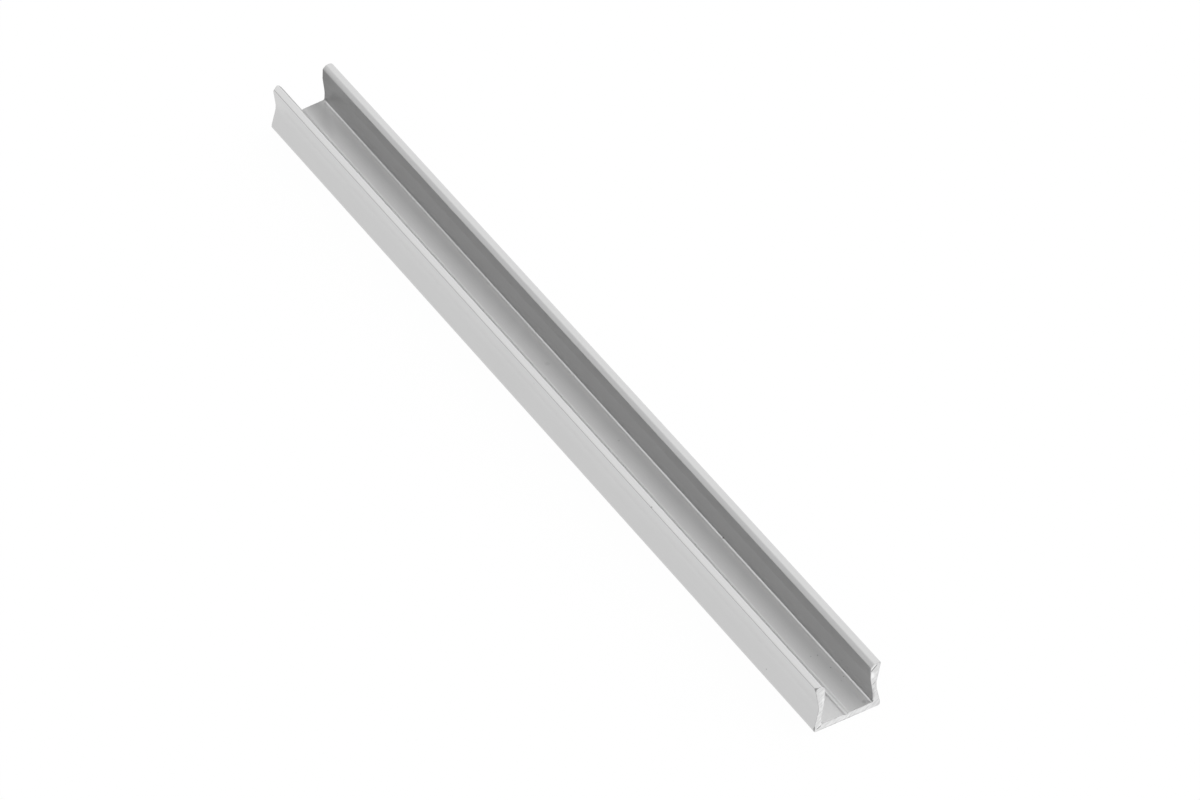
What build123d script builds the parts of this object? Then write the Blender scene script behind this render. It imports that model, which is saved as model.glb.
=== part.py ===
from build123d import *
import math
import os

# Aluminium channel for a lighting strip, extruded stock cut to length: a flat floor with a scored guide line
# between two walls that pinch in at mid height and carry a small nose under a bevelled lip.
# Millimetres. Length runs along X, the walls stand to either side along Y, Z is up, origin at bottom centre.

# Overall
LENGTH = 228.0
WIDTH = 16.0
HEIGHT = 12.2

# Hand-sawn end at -X, out of square: degrees off across the width and off upright. The other end is square.
SAWN_END_SKEW = 4.5
SAWN_END_RAKE = 5.5

# Floor and its scored guide line, which runs a little to the left of the middle
FLOOR_THICKNESS = 1.6
FLOOR_CORNER_RADIUS = 0.45
SCORE_OFFSET = 0.2
SCORE_WIDTH = 1.3
SCORE_DEPTH = 0.43
SCORE_EDGE_RADIUS = 0.4
SCORE_ROOT_RADIUS = 0.12

# Outside of each wall: an upright foot, a waist that spring clips grip, a shoulder at the top
FOOT_HEIGHT = 1.0
FOOT_CORNER_RADIUS = 0.45
FOOT_BLEND_RADIUS = 0.5
WAIST_HEIGHT = 6.1
WAIST_DEPTH = 1.1
WAIST_RADIUS = 6.0
SHOULDER_INSET = 0.05
SHOULDER_RADIUS = 0.2

# Inside of each wall: upright by the floor, leaning in to a straight nose, bevelled back to the top
WALL_THICKNESS = 1.8
UPRIGHT_HEIGHT = 2.4
UPRIGHT_BLEND_RADIUS = 8.0
NOSE_OVERHANG = 0.7
NOSE_LENGTH = 2.8
NOSE_RADIUS = 3.0
BEVEL_WIDTH = 0.8
BEVEL_DROP = 0.85
BEVEL_LOWER_RADIUS = 0.45
BEVEL_UPPER_RADIUS = 0.45

# Places that several features share
FOOT_Y = WIDTH / 2
WAIST_Y = FOOT_Y - WAIST_DEPTH
SHOULDER_Y = FOOT_Y - SHOULDER_INSET
INNER_Y = FOOT_Y - WALL_THICKNESS
NOSE_Y = INNER_Y - NOSE_OVERHANG
LIP_Y = NOSE_Y + BEVEL_WIDTH
NOSE_TOP_Z = HEIGHT - BEVEL_DROP
NOSE_BOTTOM_Z = NOSE_TOP_Z - NOSE_LENGTH
UPRIGHT_TOP_Z = FLOOR_THICKNESS + UPRIGHT_HEIGHT
SCORE_ROOT_Z = FLOOR_THICKNESS - SCORE_DEPTH


def wall_corners():
    """Corners of the right wall as (y, z, rounding), from the foot up the outside and down the inside."""
    return [
        (FOOT_Y, 0.0, FOOT_CORNER_RADIUS),
        (FOOT_Y, FOOT_HEIGHT, FOOT_BLEND_RADIUS),
        (WAIST_Y, WAIST_HEIGHT, WAIST_RADIUS),
        (SHOULDER_Y, HEIGHT, SHOULDER_RADIUS),
        (LIP_Y, HEIGHT, BEVEL_UPPER_RADIUS),
        (NOSE_Y, NOSE_TOP_Z, BEVEL_LOWER_RADIUS),
        (NOSE_Y, NOSE_BOTTOM_Z, NOSE_RADIUS),
        (INNER_Y, UPRIGHT_TOP_Z, UPRIGHT_BLEND_RADIUS),
        (INNER_Y, FLOOR_THICKNESS, FLOOR_CORNER_RADIUS),
    ]


def score_corners():
    """Corners of the scored line, from its right edge over the root to its left edge."""
    return [
        (SCORE_WIDTH / 2 - SCORE_OFFSET, FLOOR_THICKNESS, SCORE_EDGE_RADIUS),
        (-SCORE_OFFSET, SCORE_ROOT_Z, SCORE_ROOT_RADIUS),
        (-SCORE_WIDTH / 2 - SCORE_OFFSET, FLOOR_THICKNESS, SCORE_EDGE_RADIUS),
    ]


def section_corners():
    """The closed section: right wall, scored line, then the right wall mirrored to the left."""
    right = wall_corners()
    left = [(-y, z, rounding) for y, z, rounding in reversed(right)]
    return right + score_corners() + left


def rounding_that_fits(before, corner, after):
    """The corner's rounding, held back so that it takes less than half of the shorter side beside it."""
    here = Vector(corner[0], corner[1])
    to_before = Vector(before[0], before[1]) - here
    to_after = Vector(after[0], after[1]) - here
    half_angle = math.radians(to_before.get_angle(to_after)) / 2
    room = 0.48 * min(to_before.length, to_after.length)
    return min(corner[2], room * math.tan(half_angle))


def section_face():
    """The section on the YZ plane, every corner rounded to its own radius."""
    corners = section_corners()
    count = len(corners)
    points = [(y, z) for y, z, _ in corners]
    roundings = [
        rounding_that_fits(corners[i - 1], corners[i], corners[(i + 1) % count])
        for i in range(count)
    ]
    with BuildSketch(Plane.YZ) as sketch:
        with BuildLine():
            FilletPolyline(*points, radius=roundings, close=True)
        make_face()
    return sketch.sketch


def sawn_end_plane():
    """Plane of the sawn end: it passes through the longest corner and faces along the bar."""
    longest_corner = (-LENGTH / 2, FOOT_Y, 0.0)
    across = math.tan(math.radians(SAWN_END_SKEW))
    upward = math.tan(math.radians(SAWN_END_RAKE))
    return Plane(origin=longest_corner, z_dir=(1.0, across, -upward))


def u_channel():
    """The bar: the section drawn out evenly to both sides of the middle, then sawn off at one end."""
    stock = extrude(section_face(), amount=LENGTH / 2, both=True)
    bar = split(stock, bisect_by=sawn_end_plane(), keep=Keep.TOP)
    bar.label = "u_channel"
    return bar


os.makedirs("parts", exist_ok=True)
export_step(u_channel(), "parts/u_channel.step")
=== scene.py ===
import math

import bpy
import numpy as np
from mathutils import Matrix, Vector
from mathutils.geometry import delaunay_2d_cdt


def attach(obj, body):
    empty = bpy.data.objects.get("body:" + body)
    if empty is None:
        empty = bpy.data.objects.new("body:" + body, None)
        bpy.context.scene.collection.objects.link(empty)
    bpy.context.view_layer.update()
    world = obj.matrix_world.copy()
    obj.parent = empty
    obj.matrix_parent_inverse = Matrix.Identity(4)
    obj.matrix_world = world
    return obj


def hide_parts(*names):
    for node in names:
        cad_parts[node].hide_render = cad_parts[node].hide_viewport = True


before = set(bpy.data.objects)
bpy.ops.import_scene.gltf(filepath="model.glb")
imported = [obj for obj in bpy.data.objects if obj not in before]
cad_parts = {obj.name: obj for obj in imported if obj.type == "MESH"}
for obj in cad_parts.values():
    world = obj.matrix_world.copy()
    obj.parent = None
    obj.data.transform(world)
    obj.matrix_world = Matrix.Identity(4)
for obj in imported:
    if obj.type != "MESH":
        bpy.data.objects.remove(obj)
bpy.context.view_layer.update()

MM = 0.001

# The bar, in millimetres: length along X, walls to either side along Y, Z up, origin at bottom centre.
# The cut at the -X end is out of square: degrees off across the width and off upright.
LENGTH = 228.0
WIDTH = 16.0
HEIGHT = 12.2
SAWN_END_SKEW = 4.5
SAWN_END_RAKE = 5.5
FLOOR_THICKNESS = 1.6
FLOOR_CORNER_RADIUS = 0.45
SCORE_OFFSET = -0.2
SCORE_WIDTH = 1.3
SCORE_DEPTH = 0.43
SCORE_EDGE_RADIUS = 0.4
SCORE_ROOT_RADIUS = 0.12
FOOT_HEIGHT = 1.0
FOOT_CORNER_RADIUS = 0.45
FOOT_BLEND_RADIUS = 0.5
WAIST_HEIGHT = 6.1
WAIST_DEPTH = 1.1
WAIST_RADIUS = 6.0
SHOULDER_INSET = 0.05
SHOULDER_RADIUS = 0.2
WALL_THICKNESS = 1.8
UPRIGHT_HEIGHT = 2.4
UPRIGHT_BLEND_RADIUS = 8.0
NOSE_OVERHANG = 0.7
NOSE_LENGTH = 2.8
NOSE_RADIUS = 3.0
BEVEL_WIDTH = 0.8
BEVEL_DROP = 0.85
BEVEL_LOWER_RADIUS = 0.45
BEVEL_UPPER_RADIUS = 0.45

# Places and slopes that several features share, and the most of a side that one rounding may take.
INNER_Y = WIDTH / 2 - WALL_THICKNESS
NOSE_TOP_Z = HEIGHT - BEVEL_DROP
SKEW_SLOPE = math.tan(math.radians(SAWN_END_SKEW))
RAKE_SLOPE = math.tan(math.radians(SAWN_END_RAKE))
ROUNDING_ROOM = 0.48

# Mesh fineness, in millimetres and degrees. Guards are points set close beside a rounding or a cut edge.
ARC_STEP = 7.0
RUN_STEP = 0.7
RUN_GUARD = 0.06
STATION_STEP = 4.0
END_GUARDS = (0.0, 0.06, 0.3)

# Grids that fill the cut ends: steps in millimetres, the pitch of the rows and the least gap to the outline
# as shares of the step, and the distance within which points are one.
SQUARE_CAP_STEP = 0.1
SAWN_CAP_STEP = 0.16
CAP_ROW_PITCH = 0.866
CAP_GAP = 0.55
CAP_MERGE = 1e-9

# Material slots of the bar, and where they end on the outline: shares of a rounding, and slack in
# millimetres.
OUTSIDE, SHOULDER, CHANNEL_FLOOR, FLOOR_CORNER, CHANNEL_WALL, BEVEL, CUT_FACE, CUT_EDGE = range(8)
SHOULDER_SHARE = 0.5
WALL_START_SHARE = 0.4
CORNER_START_SHARE = 0.85
INNER_SLACK = 0.05
UNDERSIDE_SLACK = 0.01
LIP_SLACK = 0.1

# Saw marks on the cut ends: slant in degrees, pitches and depth in millimetres, and a sway in radians that
# comes round once in so many pitches.
SAW_SLANT = 40.0
SAW_PITCHES = (0.31, 0.53, 0.94)
SAW_DEPTH = 0.03
SAW_SWAY = 0.8
SAW_SWAY_PITCHES = 9
SAWN_SAW_SEED = 12
SQUARE_SAW_SEED = 11

# Burred edges of the cuts: mean break in millimetres, the share of it that varies, how often its waves come
# round the outline, and chips as (y, z, reach, size) in millimetres.
EDGE_BREAK = 0.038
EDGE_RAGGED = 0.9
EDGE_WAVES = (23, 41, 67, 103, 151)
SAWN_EDGE_SEED = 5
SQUARE_EDGE_SEED = 6
CHIP_STEEPNESS = 1.4
SAWN_END_CHIPS = ((7.9, 11.9, 0.5, 0.2),)
SQUARE_END_CHIPS = (
    (-7.86, 12.10, 0.52, 0.36),
    (-7.98, 0.9, 0.7, 0.22),
    (6.2, 2.1, 0.6, 0.2),
)

# Deeper scratches on the square end, and painted highlights beside them, as (start y, start z, end y, end
# z, half width, depth, share of tone lost). The highlights have no depth and a share below zero.
SCRATCHES_AND_HIGHLIGHTS = (
    (5.52, 10.36, 7.08, 11.88, 0.19, 0.09, 0.60),
    # Painted highlight beside the scratch before it.
    (5.55, 10.98, 6.70, 12.02, 0.16, 0.00, -0.16),
    (-7.40, 0.58, -6.30, 1.20, 0.18, 0.09, 0.62),
    # Painted highlight beside the scratch before it.
    (-7.65, 0.68, -6.45, 1.44, 0.15, 0.00, -0.20),
    (6.01, 6.57, 6.85, 7.14, 0.15, 0.07, 0.50),
)

# Lips at the sawn end, in millimetres: their outer corners are filed round, and the left lip is a little
# longer.
LEFT_LIP_REACH = 0.30
FILED_DEPTH = 0.8
FILED_WIDTH_LEFT = 1.4
FILED_WIDTH_RIGHT = 0.5
FILED_HEIGHT = 1.0

# Camera: fitted to the photograph's long edges and near cut end. Degrees, pixels of the photograph, metres,
# and the sensor in millimetres.
IMAGE_WIDTH = 1200.0
IMAGE_HEIGHT = 800.0
SENSOR = 36.0
AZIMUTH = 58.845
ELEVATION = 41.627
FOCAL_PIXELS = 7122.1
DISTANCE = 1.52423
CENTRE_U = 560.22
CENTRE_V = 380.20
CLIP_START = 0.01

# Surface: roughness and tone of the outside, its top edge, the channel's floor and walls, the corners
# between them, the bevels of the lips, the cut faces and their burred edges. The satin slots are one metal
# whose tones differ as painted light and painted shade: floor, corners and bevels lighter than the outside,
# walls and top edge darker.
OUTSIDE_ROUGHNESS = 0.28
OUTSIDE_TONE = 0.588
SHOULDER_ROUGHNESS = 0.11
SHOULDER_TONE = 0.49
CHANNEL_ROUGHNESS = 0.55
FLOOR_TONE = 0.745
WALL_TONE = 0.512
CORNER_ROUGHNESS = 0.45
CORNER_TONE = 0.68
BEVEL_ROUGHNESS = 0.50
BEVEL_TONE = 0.64
CUT_ROUGHNESS = 0.45
CUT_TONE = 0.76
EDGE_ROUGHNESS = 0.5
# The burred edge's tone is painted shade, and up the insides of the walls a painted highlight.
EDGE_SHADE_TONE = 0.34
INNER_EDGE_HIGHLIGHT_TONE = 0.72

# Soft noise as (spacing along each axis in millimetres, detail, share of tone): on the satin skin, on the
# cut faces, where the streaks follow the saw stroke, and on the burred edges.
DIE_LINES = ((300.0, 0.5, 0.5), 2.0, 0.03)
MOTTLING = ((9.0, 2.5, 2.5), 3.0, 0.03)
GRAIN = ((0.4, 0.4, 0.4), 1.0, 0.025)
STREAKS = ((50.0, 2.4, 0.36), 2.0, 0.6)
CUT_MOTTLING = ((50.0, 0.9, 0.9), 2.0, 0.30)
BURR_MOTTLING = ((0.6, 0.6, 0.6), 2.0, 0.4)

# Bands of painted light, and of painted shade where the share is below zero, as (axis that they cross,
# middle, reach, share). The core is the share of the reach over which a band is full.
BAND_CORE = 0.25
# Painted shade along the top of the left lip by its bevel.
OUTSIDE_BANDS = (("Y", -6.25, 0.30, -0.06),)
# Painted highlight in the scored line, and painted light on the floor by the right wall.
FLOOR_BANDS = (("Y", -0.03, 0.24, 0.23), ("Y", 5.75, 1.6, 0.08))
# Painted highlight on the floor's corner, growing towards the square end.
CORNER_BANDS = (("X", 114.0, 240.0, 0.22),)
# Painted light up the walls towards the noses, and painted shade towards the sawn end.
WALL_BANDS = (("Z", 11.0, 6.0, 0.09), ("X", -114.0, 36.0, -0.09))
# Painted shade on the left bevel.
BEVEL_BANDS = (("Y", -6.0, 3.0, -0.09),)

# Dark specks on the satin as (x, y, z, radius, share of tone lost), full over the core share of the radius:
# dirt, and last two wider darker patches on the floor by the right wall at the square end.
SPECK_CORE = 0.35
SPECKS = (
    (95.21, -7.70, 2.39, 0.22, 0.45),
    (96.43, 4.00, 1.60, 0.18, 0.50),
    (100.92, 4.36, 1.60, 0.18, 0.48),
    (104.53, 5.18, 1.60, 0.18, 0.42),
    (96.03, 2.60, 1.60, 0.24, 0.18),
    (105.35, 4.12, 1.60, 0.22, 0.14),
    (102.27, 6.20, 3.84, 0.20, 0.34),
    (104.30, 6.20, 3.46, 0.20, 0.26),
    (105.37, 6.20, 2.57, 0.20, 0.22),
    (1.79, -7.57, 9.97, 0.32, 0.22),
    (-10.40, 3.02, 1.60, 0.80, 0.08),
    (18.70, 3.31, 1.60, 0.35, 0.14),
    (50.05, -7.78, 12.18, 0.30, 0.40),
    (56.30, 6.18, 1.72, 0.35, 0.65),
    # Two wider darker patches on the floor by the right wall at the square end, where the corner line
    # stops.
    (113.00, 4.80, 1.60, 0.70, 0.18),
    (113.60, 5.85, 1.62, 0.80, 0.14),
)

# Painted shade inside the channel by the sawn end, darkening what light comes in at the open cut: share of
# tone lost on the floor and on the walls. It fades from the start to the reach, both measured in from the
# cut.
# The reach grows by so much for each millimetre up from the floor, and for each millimetre away from the
# right wall over a span. It also fades out up the bevel and across to the left. The left lip has a share of
# it over a length of its own, full over the core.
FLOOR_END_SHADE = 0.55
WALL_END_SHADE = 0.53
END_SHADE_START = -0.6
END_SHADE_REACH = 1.2
END_SHADE_UPWARD = 1.5
END_SHADE_ACROSS = 3.2
END_SHADE_SPAN = 4.6
END_SHADE_FULL_Z = NOSE_TOP_Z - 0.45
END_SHADE_GONE_Z = HEIGHT - 0.2
END_SHADE_FULL_Y = 4.5
END_SHADE_GONE_Y = -4.0
LEFT_LIP_SHARE = 0.75
LIP_SHADE_LENGTH = 14.0
LIP_SHADE_CORE = 0.4
MIDDLE_BLEND = 1.0

# Marks on the square cut face: how far in they colour the metal, the full share of a line's half width,
# how far from its middle a line starts to taper as a share of its length, the full share of a patch, and
# patches as (y, z, reach across, reach up, share of tone lost), brighter where that is below zero. Most
# patches are painted shade and painted highlights at burrs and edges.
MARK_DEPTH = 2.0
LINE_MARK_CORE = 0.3
LINE_MARK_TAPER = 0.4
PATCH_CORE = 0.1
CUT_FACE_PATCHES = (
    # Painted shade on the right wall's cut face by its inner edge, low down.
    (6.00, 3.7, 1.0, 2.2, 0.34),
    # Painted highlight on the right wall's cut face, high up by its inner edge.
    (5.95, 9.3, 0.6, 1.2, -0.26),
    # Painted highlight along the left wall's inner cut edge.
    (-5.95, 8.0, 0.35, 3.2, -0.20),
    # Painted shade of the burr at the top left corner.
    (-7.75, 12.02, 0.45, 0.30, 0.75),
    # Lighter patch on the left wall's cut face, low down.
    (-6.60, 3.4, 0.8, 2.2, -0.10),
    # Lighter patch across the floor's cut face.
    (-2.50, 0.8, 5.0, 1.6, -0.08),
    # Painted shade of the burr at the bottom left corner.
    (-7.95, 0.7, 0.3, 0.7, 0.30),
    # Painted shade along the bottom edge of the cut face.
    (-2.00, 0.0, 9.5, 0.3, 0.40),
)

# Where the burred edges carry a painted highlight, up the insides of the walls: full at the first place,
# gone at the second.
EDGE_HIGHLIGHT_Y = (6.4, 6.7)
EDGE_HIGHLIGHT_Z = (2.3, 1.8)

# Studio floor: half width and gap under the bar in metres, share of plain white, and tone of the paper that
# shows through.
FLOOR_HALF = 4.0
FLOOR_GAP = 0.00002
FLOOR_GLOW = 0.97
PAPER_TONE = 0.98

# Light: level of the soft surround by the angle round the bar, in degrees up from the right horizon, and
# the level that the top of the ramp stands for.
SKY_LEVELS = (
    (15.0, 1.45),
    (40.0, 1.3),
    (60.0, 1.17),
    (80.0, 1.01),
    (100.0, 1.03),
    (120.0, 0.96),
    (145.0, 0.87),
    (172.0, 0.70),
)
SKY_PEAK = 2.0


# Section

def section_corners():
    """The closed section as (y, z, rounding): right wall, scored line, then the left wall."""
    foot = WIDTH / 2
    nose = INNER_Y - NOSE_OVERHANG
    right = [
        (foot, 0.0, FOOT_CORNER_RADIUS),
        (foot, FOOT_HEIGHT, FOOT_BLEND_RADIUS),
        (foot - WAIST_DEPTH, WAIST_HEIGHT, WAIST_RADIUS),
        (foot - SHOULDER_INSET, HEIGHT, SHOULDER_RADIUS),
        (nose + BEVEL_WIDTH, HEIGHT, BEVEL_UPPER_RADIUS),
        (nose, NOSE_TOP_Z, BEVEL_LOWER_RADIUS),
        (nose, NOSE_TOP_Z - NOSE_LENGTH, NOSE_RADIUS),
        (INNER_Y, FLOOR_THICKNESS + UPRIGHT_HEIGHT, UPRIGHT_BLEND_RADIUS),
        (INNER_Y, FLOOR_THICKNESS, FLOOR_CORNER_RADIUS),
    ]
    score = [
        (SCORE_OFFSET + SCORE_WIDTH / 2, FLOOR_THICKNESS, SCORE_EDGE_RADIUS),
        (SCORE_OFFSET, FLOOR_THICKNESS - SCORE_DEPTH, SCORE_ROOT_RADIUS),
        (SCORE_OFFSET - SCORE_WIDTH / 2, FLOOR_THICKNESS, SCORE_EDGE_RADIUS),
    ]
    left = [(-y, z, rounding) for y, z, rounding in reversed(right)]
    return right + score + left


def rounded_corner(before, here, after, radius):
    """Points along the rounding of one corner, from its first tangent point to its last."""
    to_before = (before - here).normalized()
    to_after = (after - here).normalized()
    half = to_before.angle(to_after) / 2
    reach = ROUNDING_ROOM * min((before - here).length, (after - here).length)
    radius = min(radius, reach * math.tan(half))
    middle = here + (to_before + to_after).normalized() * (radius / math.sin(half))
    first = here + to_before * (radius / math.tan(half)) - middle
    last = here + to_after * (radius / math.tan(half)) - middle
    turn = first.angle_signed(last)
    steps = max(2, math.ceil(abs(math.degrees(turn)) / ARC_STEP))
    points = []
    for i in range(steps + 1):
        angle = -turn * i / steps
        cos, sin = math.cos(angle), math.sin(angle)
        points.append(middle + Vector((first.x * cos - first.y * sin, first.x * sin + first.y * cos)))
    return points


def straight_run(start, end):
    """Points strictly between two tangent points: a guard close to each end, then even steps."""
    length = (end - start).length
    if length < 3 * RUN_GUARD:
        return []
    steps = max(1, math.ceil((length - 2 * RUN_GUARD) / RUN_STEP))
    stops = [RUN_GUARD + (length - 2 * RUN_GUARD) * i / steps for i in range(steps + 1)]
    return [start + (end - start) * (stop / length) for stop in stops]


def section_outline():
    """The section as one closed loop of fine points, in millimetres."""
    corners = section_corners()
    count = len(corners)
    flat = [Vector((y, z)) for y, z, _ in corners]
    arcs = [
        rounded_corner(flat[i - 1], flat[i], flat[(i + 1) % count], corners[i][2])
        for i in range(count)
    ]
    loop = []
    for i in range(count):
        loop += arcs[i]
        loop += straight_run(arcs[i][-1], arcs[(i + 1) % count][0])
    return np.array([(p.x, p.y) for p in loop])


def outward_normals(outline):
    """Unit normals of the loop, pointing out of the metal."""
    ahead = np.roll(outline, -1, axis=0) - outline
    behind = outline - np.roll(outline, 1, axis=0)
    ahead /= np.linalg.norm(ahead, axis=1)[:, None]
    behind /= np.linalg.norm(behind, axis=1)[:, None]
    tangent = ahead + behind
    tangent /= np.linalg.norm(tangent, axis=1)[:, None]
    return np.column_stack([tangent[:, 1], -tangent[:, 0]])


# Cut ends

def eased(value):
    """Smooth step from 0 to 1."""
    value = np.clip(value, 0.0, 1.0)
    return value * value * (3.0 - 2.0 * value)


def ragged_edge(outline, chips, seed):
    """How far the burred edge of a cut is broken back at each point of the outline, chips included."""
    draw = np.random.RandomState(seed)
    steps = np.linalg.norm(np.roll(outline, -1, axis=0) - outline, axis=1)
    along = np.concatenate([[0.0], np.cumsum(steps)[:-1]])
    turn = 2 * math.pi * along / steps.sum()
    wave = np.zeros(len(outline))
    for cycles in EDGE_WAVES:
        wave += np.sin(cycles * turn + draw.uniform(0.0, 2 * math.pi))
    edge = EDGE_BREAK * (1.0 + EDGE_RAGGED * wave / len(EDGE_WAVES))
    for y, z, reach, size in chips:
        gap = np.linalg.norm(outline - np.array([y, z]), axis=1)
        edge = np.maximum(edge, size * eased(CHIP_STEEPNESS * (1.0 - gap / reach)))
    return edge


def saw_relief(section, seed):
    """Depth of the slanting saw marks at each point of a cut end."""
    draw = np.random.RandomState(seed)
    slant = math.radians(SAW_SLANT)
    across = section[:, 1] * math.cos(slant) - section[:, 0] * math.sin(slant)
    along = section[:, 0] * math.cos(slant) + section[:, 1] * math.sin(slant)
    depth = np.zeros(len(section))
    for pitch in SAW_PITCHES:
        sway_turn = 2 * math.pi * along / (SAW_SWAY_PITCHES * pitch)
        sway = SAW_SWAY * np.sin(sway_turn + draw.uniform(0.0, 2 * math.pi))
        depth += 1.0 + np.sin(2 * math.pi * across / pitch + sway + draw.uniform(0.0, 2 * math.pi))
    return SAW_DEPTH * depth / (2 * len(SAW_PITCHES))


def scratch_relief(section):
    """Depth of the deeper scratches on the square end."""
    depth = np.zeros(len(section))
    for y0, z0, y1, z1, half_width, deep, _ in SCRATCHES_AND_HIGHLIGHTS:
        start, run = np.array([y0, z0]), np.array([y1 - y0, z1 - z0])
        share = np.clip((section - start) @ run / (run @ run), 0.0, 1.0)
        gap = np.linalg.norm(section - start - share[:, None] * run, axis=1)
        depth = np.maximum(depth, deep * np.clip(1.0 - gap / half_width, 0.0, 1.0))
    return depth


def square_end(section):
    """X of the square cut, with its saw marks and scratches."""
    return LENGTH / 2 - saw_relief(section, SQUARE_SAW_SEED) - scratch_relief(section)


def sawn_end(section):
    """X of the out-of-square cut, with its saw marks, filed lip corners and the longer left lip."""
    y, z = section[:, 0], section[:, 1]
    plane = -LENGTH / 2 + SKEW_SLOPE * (WIDTH / 2 - y) + RAKE_SLOPE * z
    top = eased((z - HEIGHT + FILED_HEIGHT) / FILED_HEIGHT)
    width = np.where(y < 0.0, FILED_WIDTH_LEFT, FILED_WIDTH_RIGHT)
    filed = FILED_DEPTH * top * eased((np.abs(y) - WIDTH / 2 + width) / width)
    reach = LEFT_LIP_REACH * top * (y < 0.0)
    return plane + saw_relief(section, SAWN_SAW_SEED) + filed - reach


# Mesh of the bar

def side_slot(start, end):
    """Material slot of a stretch of the outline."""
    y, z = (start + end) / 2
    y = abs(y)
    if y > WIDTH / 2 - SHOULDER_INSET - SHOULDER_SHARE * SHOULDER_RADIUS and z > HEIGHT - SHOULDER_RADIUS:
        return SHOULDER
    underside = z < FLOOR_THICKNESS - SCORE_DEPTH - UNDERSIDE_SLACK
    if y > INNER_Y + INNER_SLACK or underside or z > HEIGHT - LIP_SLACK:
        return OUTSIDE
    if z > NOSE_TOP_Z:
        return BEVEL
    if z > FLOOR_THICKNESS + WALL_START_SHARE * FLOOR_CORNER_RADIUS:
        return CHANNEL_WALL
    return FLOOR_CORNER if y > INNER_Y - CORNER_START_SHARE * FLOOR_CORNER_RADIUS else CHANNEL_FLOOR


def bar_stations(outline, far_edge, near_edge):
    """Rings of points from the sawn to the square end: cut edge, guards, even steps, guards, cut edge."""
    normals = outward_normals(outline)
    far_ring = outline - normals * far_edge[:, None]
    near_ring = outline - normals * near_edge[:, None]
    far = sawn_end(outline) + far_edge
    near = square_end(outline) - near_edge
    first = far + END_GUARDS[-1] * 2
    last = near - END_GUARDS[-1] * 2
    shares = np.linspace(0.0, 1.0, round(LENGTH / STATION_STEP) + 1)
    rings = [np.column_stack([sawn_end(far_ring), far_ring])]
    rings += [np.column_stack([far + guard, outline]) for guard in END_GUARDS]
    rings += [np.column_stack([first + (last - first) * share, outline]) for share in shares]
    rings += [np.column_stack([near - guard, outline]) for guard in reversed(END_GUARDS)]
    rings.append(np.column_stack([square_end(near_ring), near_ring]))
    return rings


def swept_sides(outline, ring_count):
    """Faces between neighbouring rings, and the material slot of each."""
    count = len(outline)
    side_slots = [side_slot(outline[i], outline[(i + 1) % count]) for i in range(count)]
    faces, slots = [], []
    for k in range(ring_count - 1):
        at_edge = k in (0, ring_count - 2)
        here, ahead = k * count, (k + 1) * count
        for i in range(count):
            j = (i + 1) % count
            faces.append((here + i, here + j, ahead + j, ahead + i))
            slots.append(CUT_EDGE if at_edge else side_slots[i])
    return faces, slots


def cap_grid(loop, step):
    """Fine triangles that fill a loop: points, triangles, and the given point that each point came from."""
    low, high = loop.min(axis=0), loop.max(axis=0)
    grid = []
    for row, z in enumerate(np.arange(low[1], high[1], step * CAP_ROW_PITCH)):
        ys = np.arange(low[0], high[0], step) + (row % 2) * step / 2
        line = np.column_stack([ys, np.full(len(ys), z)])
        gap = np.linalg.norm(line[:, None, :] - loop[None, :, :], axis=2).min(axis=1)
        grid.append(line[gap > CAP_GAP * step])
    given = [Vector(p) for p in np.vstack([loop] + grid)]
    rim = [list(range(len(loop)))]
    verts, _, faces, sources, _, _ = delaunay_2d_cdt(given, [], rim, 1, CAP_MERGE)
    points = np.array([(v.x, v.y) for v in verts])
    return points, faces, [source[0] if source else -1 for source in sources]


def cap_triangles(verts, ring, ring_start, cut, step):
    """Triangles that fill one cut end between the ring's own points and new ones, which join the verts."""
    points, triangles, sources = cap_grid(ring[:, 1:], step)
    x = cut(points)
    index = []
    for n, (y, z) in enumerate(points):
        if 0 <= sources[n] < len(ring):
            index.append(ring_start + sources[n])
        else:
            index.append(len(verts))
            verts.append((x[n], y, z))
    return [tuple(index[n] for n in triangle) for triangle in triangles]


def bar_mesh():
    """The bar as one closed mesh: sides swept along the length, both ends filled with a fine grid."""
    outline = section_outline()
    far_edge = ragged_edge(outline, SAWN_END_CHIPS, SAWN_EDGE_SEED)
    near_edge = ragged_edge(outline, SQUARE_END_CHIPS, SQUARE_EDGE_SEED)
    rings = bar_stations(outline, far_edge, near_edge)
    verts = [point for ring in rings for point in ring]
    last_start = len(verts) - len(outline)
    faces, slots = swept_sides(outline, len(rings))
    far_cap = cap_triangles(verts, rings[0], 0, sawn_end, SAWN_CAP_STEP)
    near_cap = cap_triangles(verts, rings[-1], last_start, square_end, SQUARE_CAP_STEP)
    faces += [triangle[::-1] for triangle in far_cap] + near_cap
    slots += [CUT_FACE] * (len(far_cap) + len(near_cap))
    mesh = bpy.data.meshes.new("channel_bar")
    mesh.from_pydata([tuple(float(c) * MM for c in v) for v in verts], [], faces)
    mesh.polygons.foreach_set("material_index", slots)
    mesh.polygons.foreach_set("use_smooth", [True] * len(faces))
    mesh.update()
    return mesh


# Materials

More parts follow.
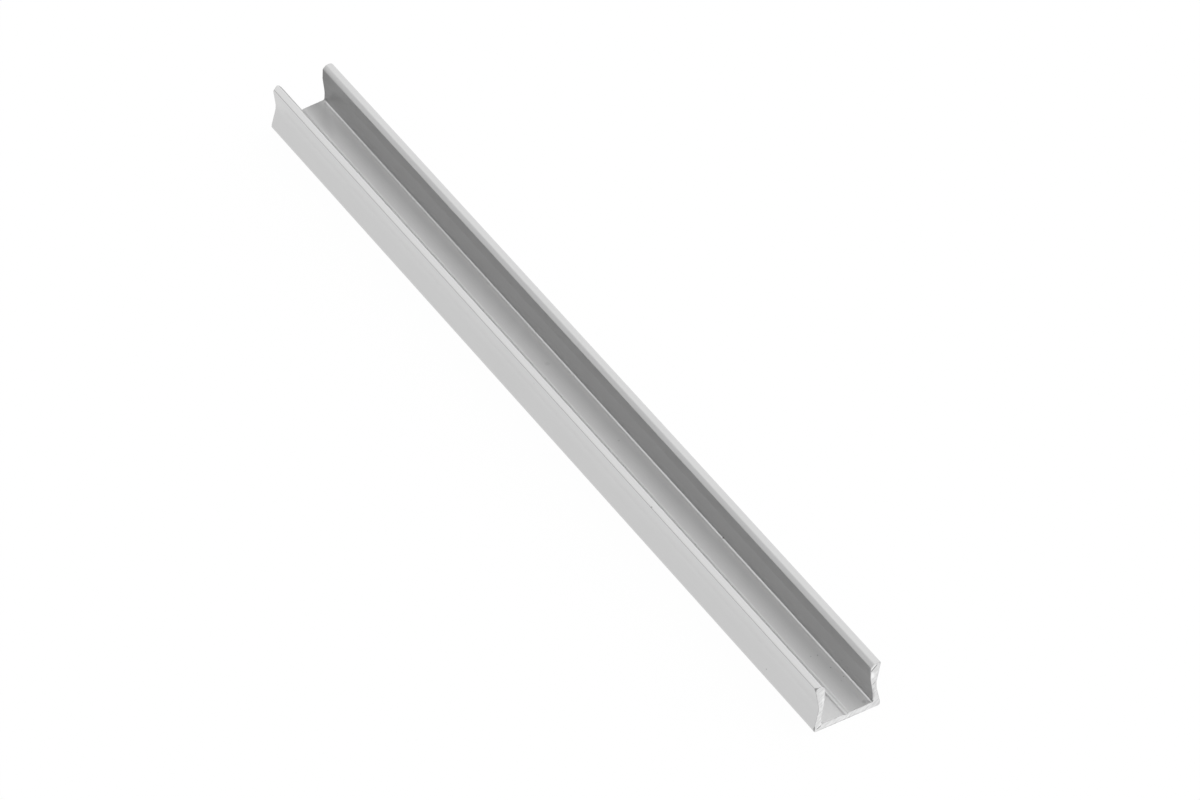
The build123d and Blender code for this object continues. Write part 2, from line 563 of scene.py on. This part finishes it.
class Nodes:
    """A material's node tree with short calls for adding and joining nodes."""

    def __init__(self, name):
        self.material = bpy.data.materials.new(name)
        self.material.use_nodes = True
        self.tree = self.material.node_tree
        self.tree.nodes.clear()

    def add(self, kind, **settings):
        """A new node with its settings."""
        node = self.tree.nodes.new(kind)
        for key, value in settings.items():
            setattr(node, key, value)
        return node

    def join(self, source, target):
        """Link a socket to an input, or set the input to a plain value."""
        if isinstance(source, bpy.types.NodeSocket):
            self.tree.links.new(source, target)
        else:
            target.default_value = source

    def math(self, operation, *values):
        """Result of a calculation on numbers."""
        node = self.add("ShaderNodeMath", operation=operation)
        for value, socket in zip(values, node.inputs):
            self.join(value, socket)
        return node.outputs[0]

    def vector(self, operation, first, second):
        """Result of a calculation on two vectors."""
        node = self.add("ShaderNodeVectorMath", operation=operation)
        self.join(first, node.inputs[0])
        self.join(second, node.inputs[1])
        return node.outputs["Value" if operation in ("DISTANCE", "DOT_PRODUCT") else "Vector"]

    def position(self):
        """Place on the bar, in millimetres."""
        place = self.add("ShaderNodeTexCoord").outputs["Object"]
        return self.vector("MULTIPLY", place, (1 / MM, 1 / MM, 1 / MM))

    def split(self, place):
        """The X, Y and Z of a place."""
        node = self.add("ShaderNodeSeparateXYZ")
        self.join(place, node.inputs[0])
        return node.outputs

    def noisy(self, level, place, layer):
        """The level with a layer of soft noise added, given as (spacing along each axis, detail, share)."""
        spacing, detail, share = layer
        node = self.add("ShaderNodeTexNoise")
        self.join(1.0, node.inputs["Scale"])
        self.join(detail, node.inputs["Detail"])
        self.join(self.vector("DIVIDE", place, spacing), node.inputs["Vector"])
        about_zero = self.math("SUBTRACT", node.outputs["Fac"], 0.5)
        return self.math("MULTIPLY_ADD", about_zero, share, level)

    def fade(self, value, start, end):
        """1 at the start value, falling smoothly to 0 at the end value."""
        node = self.add("ShaderNodeMapRange", interpolation_type="SMOOTHSTEP")
        self.join(value, node.inputs["Value"])
        self.join(start, node.inputs["From Min"])
        self.join(end, node.inputs["From Max"])
        self.join(1.0, node.inputs["To Min"])
        self.join(0.0, node.inputs["To Max"])
        return node.outputs["Result"]

    def darkened(self, level, mask, share):
        """The level less a share of it where the mask is 1."""
        return self.math("MULTIPLY", level, self.math("MULTIPLY_ADD", mask, -share, 1.0))

    def metal(self, level, roughness):
        """Bare metal whose grey tone is the level, joined to the output."""
        shader = self.add("ShaderNodeBsdfPrincipled")
        self.join(1.0, shader.inputs["Metallic"])
        self.join(roughness, shader.inputs["Roughness"])
        self.join(level, shader.inputs["Base Color"])
        self.join(shader.outputs["BSDF"], self.add("ShaderNodeOutputMaterial").inputs["Surface"])
        return self.material


def end_painted_shade(n, place):
    """Mask of the painted shade in the right half of the channel by the sawn end."""
    x, y, z = n.split(place)
    inward = n.math("MULTIPLY_ADD", y, SKEW_SLOPE, LENGTH / 2 - SKEW_SLOPE * WIDTH / 2)
    inward = n.math("ADD", x, n.math("MULTIPLY_ADD", z, -RAKE_SLOPE, inward))
    aside = n.math("MINIMUM", n.math("SUBTRACT", INNER_Y, y), END_SHADE_SPAN)
    reach = n.math("MULTIPLY_ADD", n.math("SUBTRACT", z, FLOOR_THICKNESS), END_SHADE_UPWARD, END_SHADE_REACH)
    reach = n.math("MULTIPLY_ADD", aside, END_SHADE_ACROSS, reach)
    below_lip = n.fade(z, END_SHADE_FULL_Z, END_SHADE_GONE_Z)
    right_side = n.fade(y, END_SHADE_FULL_Y, END_SHADE_GONE_Y)
    return n.math("MULTIPLY", n.fade(inward, END_SHADE_START, reach), n.math("MULTIPLY", below_lip, right_side))


def lip_painted_shade(n, place):
    """Mask of the painted shade on the bevels by the sawn end: the left one, and the right one's lower
    edge.
    """
    x, y, _ = n.split(place)
    by_end = n.fade(x, LIP_SHADE_CORE * LIP_SHADE_LENGTH - LENGTH / 2, LIP_SHADE_LENGTH - LENGTH / 2)
    left_side = n.fade(y, -MIDDLE_BLEND, MIDDLE_BLEND)
    left_lip = n.math("MULTIPLY", by_end, n.math("MULTIPLY", left_side, LEFT_LIP_SHARE))
    return n.math("MAXIMUM", left_lip, end_painted_shade(n, place))


def painted_light_bands(n, place, level, bands):
    """The level with bands of painted light and painted shade, brighter and duller than the skin beside
    them.
    """
    parts = n.split(place)
    for axis, middle, reach, share in bands:
        gap = n.math("ABSOLUTE", n.math("SUBTRACT", parts[axis], middle))
        level = n.darkened(level, n.fade(gap, BAND_CORE * reach, reach), -share)
    return level


def satin_metal(name, roughness, tone, bands=(), end_shade_share=0.0, end_shade_mask=end_painted_shade):
    """Satin skin: die lines, mottling, grain, dark specks, bands of painted light and shade, painted shade
    by the sawn end if asked.
    """
    n = Nodes(name)
    place = n.position()
    level = 1.0
    for layer in (DIE_LINES, MOTTLING, GRAIN):
        level = n.noisy(level, place, layer)
    level = painted_light_bands(n, place, level, bands)
    for x, y, z, radius, share in SPECKS:
        gap = n.vector("DISTANCE", place, (x, y, z))
        level = n.darkened(level, n.fade(gap, radius * SPECK_CORE, radius), share)
    if end_shade_share:
        level = n.darkened(level, end_shade_mask(n, place), end_shade_share)
    return n.metal(n.math("MULTIPLY", level, tone), roughness)


def line_mark_mask(n, place, start, end, half_width):
    """1 along a scratch or a painted highlight line on the square end, 0 away from it."""
    (y0, z0), (y1, z1) = start, end
    length = math.hypot(y1 - y0, z1 - z0)
    along = (0.0, (y1 - y0) / length, (z1 - z0) / length)
    across = (0.0, -along[2], along[1])
    offset = n.vector("SUBTRACT", place, (LENGTH / 2, (y0 + y1) / 2, (z0 + z1) / 2))
    aside = n.math("ABSOLUTE", n.vector("DOT_PRODUCT", offset, across))
    ahead = n.math("ABSOLUTE", n.vector("DOT_PRODUCT", offset, along))
    inward = n.math("ABSOLUTE", n.vector("DOT_PRODUCT", offset, (1.0, 0.0, 0.0)))
    narrow = n.fade(aside, LINE_MARK_CORE * half_width, half_width)
    tapered = n.fade(ahead, LINE_MARK_TAPER * length, length / 2)
    near_end = n.fade(inward, MARK_DEPTH / 2, MARK_DEPTH)
    return n.math("MULTIPLY", n.math("MULTIPLY", narrow, tapered), near_end)


def sawn_metal():
    """Cut face: saw-stroke streaks, mottling; on the square end scratches and patches, with painted
    highlights and shade.
    """
    n = Nodes("sawn_face")
    place = n.position()
    turned = n.add("ShaderNodeVectorRotate", rotation_type="X_AXIS")
    turned.inputs["Angle"].default_value = -math.radians(SAW_SLANT)
    n.join(place, turned.inputs["Vector"])
    level = n.noisy(1.0, turned.outputs[0], STREAKS)
    level = n.noisy(level, place, CUT_MOTTLING)
    for y, z, across, upward, share in CUT_FACE_PATCHES:
        offset = n.vector("SUBTRACT", place, (LENGTH / 2, y, z))
        scaled = n.vector("DIVIDE", offset, (MARK_DEPTH, across, upward))
        gap = n.vector("DISTANCE", scaled, (0.0, 0.0, 0.0))
        level = n.darkened(level, n.fade(gap, PATCH_CORE, 1.0), share)
    for y0, z0, y1, z1, half_width, _, share in SCRATCHES_AND_HIGHLIGHTS:
        level = n.darkened(level, line_mark_mask(n, place, (y0, z0), (y1, z1), half_width), share)
    return n.metal(n.math("MULTIPLY", level, CUT_TONE), CUT_ROUGHNESS)


def burred_metal():
    """Thin broken edge round a cut: painted shade outside and on the floor, a painted highlight up the
    insides of the walls.
    """
    n = Nodes("burred_edge")
    place = n.position()
    _, y, z = n.split(place)
    between_walls = n.fade(n.math("ABSOLUTE", y), *EDGE_HIGHLIGHT_Y)
    inside = n.math("MULTIPLY", between_walls, n.fade(z, *EDGE_HIGHLIGHT_Z))
    tone = n.math("MULTIPLY_ADD", inside, INNER_EDGE_HIGHLIGHT_TONE - EDGE_SHADE_TONE, EDGE_SHADE_TONE)
    level = n.noisy(1.0, place, BURR_MOTTLING)
    return n.metal(n.math("MULTIPLY", level, tone), EDGE_ROUGHNESS)


def white_floor():
    """White studio floor: plain white to the eye and in reflections, with the bar's soft shadow kept."""
    n = Nodes("white_floor")
    path = n.add("ShaderNodeLightPath")
    seen = n.math("MAXIMUM", path.outputs["Is Camera Ray"], path.outputs["Is Glossy Ray"])
    seen = n.math("MAXIMUM", seen, path.outputs["Is Transmission Ray"])
    paper = n.add("ShaderNodeBsdfDiffuse")
    paper.inputs["Color"].default_value = (PAPER_TONE, PAPER_TONE, PAPER_TONE, 1.0)
    glow = n.add("ShaderNodeEmission")
    glow.inputs["Color"].default_value = (1.0, 1.0, 1.0, 1.0)
    glow.inputs["Strength"].default_value = 1.0
    mix = n.add("ShaderNodeMixShader")
    n.join(n.math("MULTIPLY", seen, FLOOR_GLOW), mix.inputs["Fac"])
    n.join(paper.outputs[0], mix.inputs[1])
    n.join(glow.outputs[0], mix.inputs[2])
    n.join(mix.outputs[0], n.add("ShaderNodeOutputMaterial").inputs["Surface"])
    return n.material


# Stage

def add_floor():
    """The studio floor, a hair below the bar so that their faces don't coincide."""
    corners = ((-1, -1), (1, -1), (1, 1), (-1, 1))
    mesh = bpy.data.meshes.new("studio_floor")
    mesh.from_pydata([(x * FLOOR_HALF, y * FLOOR_HALF, -FLOOR_GAP) for x, y in corners], [], [(0, 1, 2, 3)])
    floor = bpy.data.objects.new("studio_floor", mesh)
    bpy.context.scene.collection.objects.link(floor)
    mesh.materials.append(white_floor())


def add_world():
    """Soft studio surround: its level follows the angle round the bar, dimmest at the left horizon."""
    world = bpy.data.worlds.new("studio")
    bpy.context.scene.world = world
    world.use_nodes = True
    nodes, links = world.node_tree.nodes, world.node_tree.links
    background = nodes["Background"]
    background.inputs["Color"].default_value = (1.0, 1.0, 1.0, 1.0)
    direction = nodes.new("ShaderNodeTexCoord")
    parts = nodes.new("ShaderNodeSeparateXYZ")
    turn = nodes.new("ShaderNodeMath")
    turn.operation = "ARCTAN2"
    share = nodes.new("ShaderNodeMath")
    share.operation = "DIVIDE"
    share.inputs[1].default_value = math.pi
    ramp = nodes.new("ShaderNodeValToRGB")
    stops = ramp.color_ramp.elements
    while len(stops) < len(SKY_LEVELS):
        stops.new(1.0)
    for stop, (angle, level) in zip(stops, SKY_LEVELS):
        stop.position = angle / 180.0
        stop.color = (level / SKY_PEAK, level / SKY_PEAK, level / SKY_PEAK, 1.0)
    strength = nodes.new("ShaderNodeMath")
    strength.operation = "MULTIPLY"
    strength.inputs[1].default_value = SKY_PEAK
    links.new(direction.outputs["Generated"], parts.inputs[0])
    links.new(parts.outputs["Z"], turn.inputs[0])
    links.new(parts.outputs["Y"], turn.inputs[1])
    links.new(turn.outputs[0], share.inputs[0])
    links.new(share.outputs[0], ramp.inputs[0])
    links.new(ramp.outputs["Color"], strength.inputs[0])
    links.new(strength.outputs[0], background.inputs["Strength"])


def add_camera():
    """The photograph's camera, moved aside so that the middle of the bar falls where it does there."""
    azimuth, elevation = math.radians(AZIMUTH), math.radians(ELEVATION)
    back = Vector((math.sin(azimuth) * math.cos(elevation), -math.cos(azimuth) * math.cos(elevation),
                   math.sin(elevation)))
    right = Vector((math.cos(azimuth), math.sin(azimuth), 0.0))
    up = back.cross(right)
    aside = (CENTRE_U - IMAGE_WIDTH / 2) * DISTANCE / FOCAL_PIXELS
    above = (IMAGE_HEIGHT / 2 - CENTRE_V) * DISTANCE / FOCAL_PIXELS
    place = Vector((0.0, 0.0, HEIGHT * MM / 2)) + back * DISTANCE - right * aside - up * above
    data = bpy.data.cameras.new("camera")
    data.sensor_fit = "HORIZONTAL"
    data.sensor_width = SENSOR
    data.lens = FOCAL_PIXELS / IMAGE_WIDTH * SENSOR
    data.clip_start = CLIP_START
    camera = bpy.data.objects.new("camera", data)
    camera.matrix_world = Matrix((
        (right.x, up.x, back.x, place.x),
        (right.y, up.y, back.y, place.y),
        (right.z, up.z, back.z, place.z),
        (0.0, 0.0, 0.0, 1.0),
    ))
    bpy.context.scene.collection.objects.link(camera)
    bpy.context.scene.camera = camera


def add_bar():
    """The dressed bar in place of the plain solid. Its materials follow the order of the slots."""
    bar = bpy.data.objects.new("channel_bar", bar_mesh())
    bpy.context.scene.collection.objects.link(bar)
    # The satin slots are copies of one metal, with painted light and painted shade in their tones.
    for material in (
        satin_metal("satin_outside", OUTSIDE_ROUGHNESS, OUTSIDE_TONE, OUTSIDE_BANDS),
        satin_metal("satin_shoulder", SHOULDER_ROUGHNESS, SHOULDER_TONE),
        satin_metal("satin_floor", CHANNEL_ROUGHNESS, FLOOR_TONE, FLOOR_BANDS, FLOOR_END_SHADE),
        satin_metal("satin_corner", CORNER_ROUGHNESS, CORNER_TONE, CORNER_BANDS, FLOOR_END_SHADE),
        satin_metal("satin_wall", CHANNEL_ROUGHNESS, WALL_TONE, WALL_BANDS, WALL_END_SHADE),
        satin_metal("satin_bevel", BEVEL_ROUGHNESS, BEVEL_TONE, BEVEL_BANDS, WALL_END_SHADE, lip_painted_shade),
        sawn_metal(),
        burred_metal(),
    ):
        bar.data.materials.append(material)
    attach(bar, "root")
    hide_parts("u_channel")


bpy.context.scene.view_settings.view_transform = "Standard"
add_bar()
add_floor()
add_world()
add_camera()
